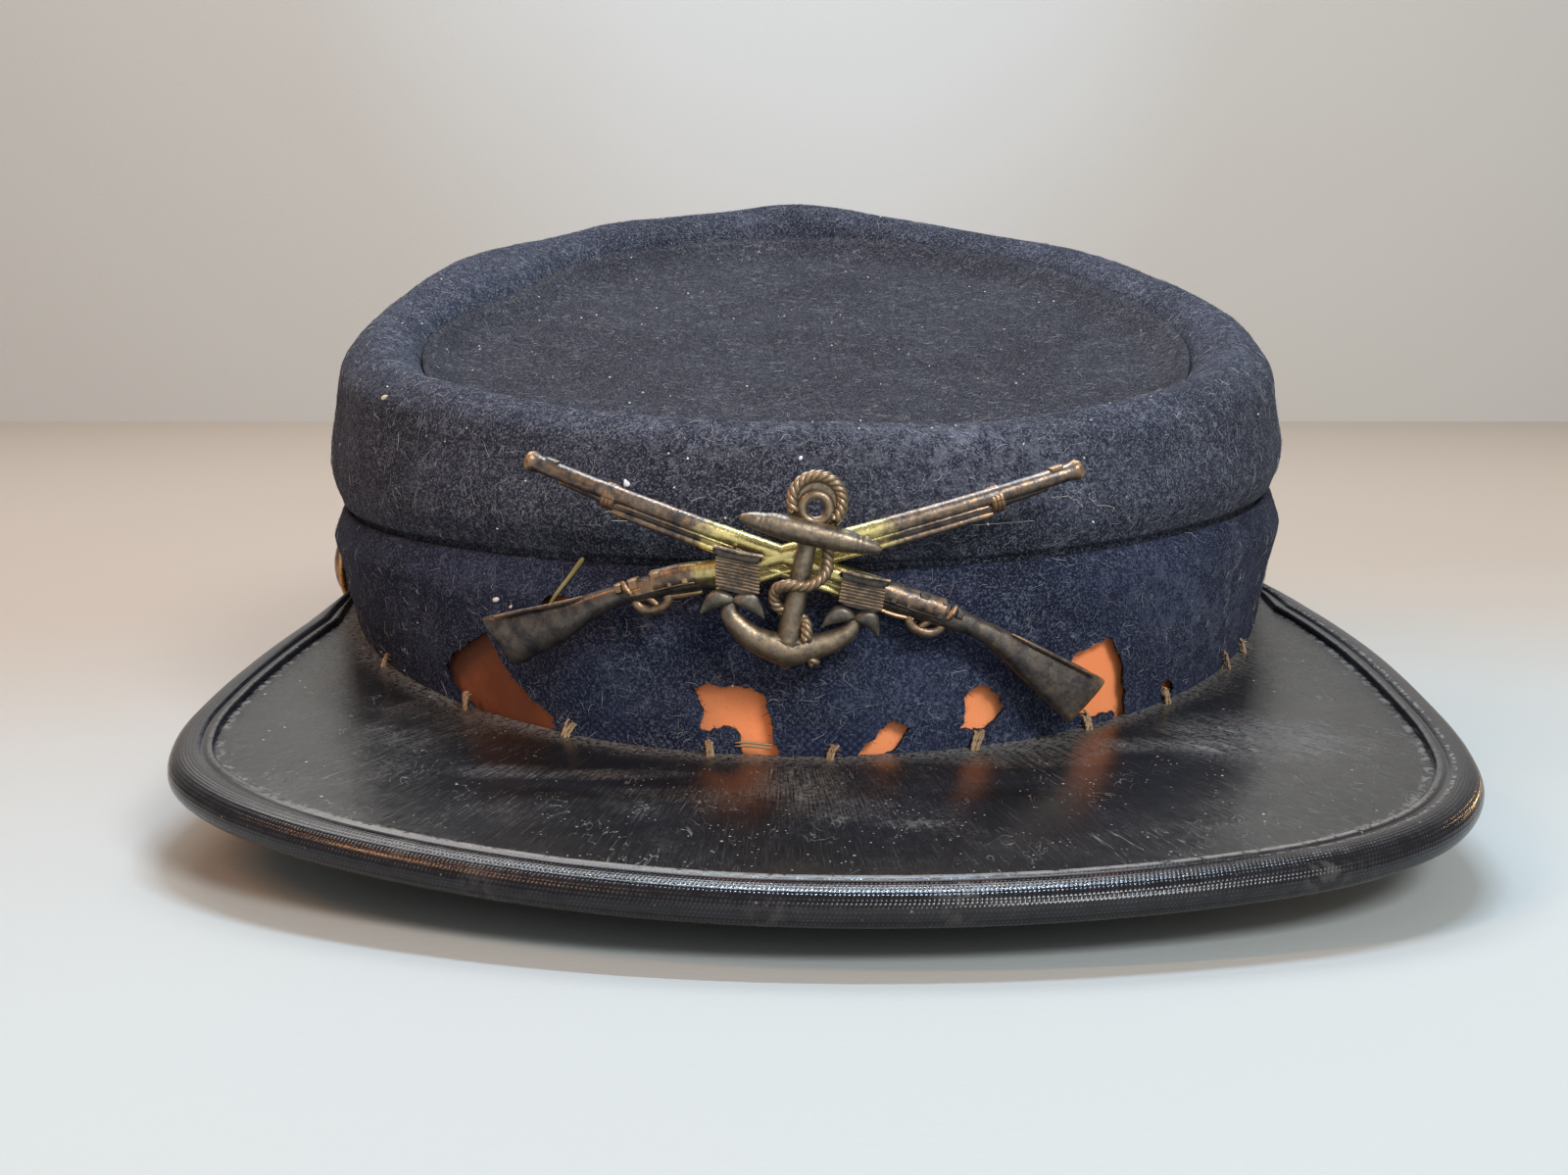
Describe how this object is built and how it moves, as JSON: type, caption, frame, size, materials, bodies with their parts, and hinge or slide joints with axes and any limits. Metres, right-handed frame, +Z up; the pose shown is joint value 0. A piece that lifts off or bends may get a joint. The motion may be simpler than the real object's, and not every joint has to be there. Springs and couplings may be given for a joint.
{
  "type": "kepi cap",
  "caption": "Low felt kepi with a sunken forward-sloping top, rolled edge, bound leather peak, metal badge and side buttons.",
  "frame": {"origin": "middle of the cap's footprint on the surface that it rests on", "axes": "+Z up, the peak points to -Y, and +X is on the right of a viewer who faces the peak"},
  "size_m": [0.1706, 0.2318, 0.0873],
  "materials": {
    "stiffener_board": "matt orange-red board",
    "band_felt": "worn navy wool felt",
    "crown_felt": "fuzzy navy wool felt",
    "enamelled_leather": "scuffed black enamel",
    "binding_leather": "glossy black grained leather",
    "rifle_brass": "dark patina, bright yellow at the crossing",
    "anchor_bronze": "brown patina",
    "button_brass": "tarnished"
  },
  "bodies": {
    "root": {"band_stiffener": "stiffener_board", "band_cloth": "band_felt", "crown_side": "crown_felt", "top_disc": "crown_felt", "peak": "enamelled_leather", "peak_binding": "binding_leather", "crossed_rifles": "rifle_brass", "anchor": "anchor_bronze", "side_button_left": "button_brass", "side_button_right": "button_brass"}
  },
  "joints": []
}
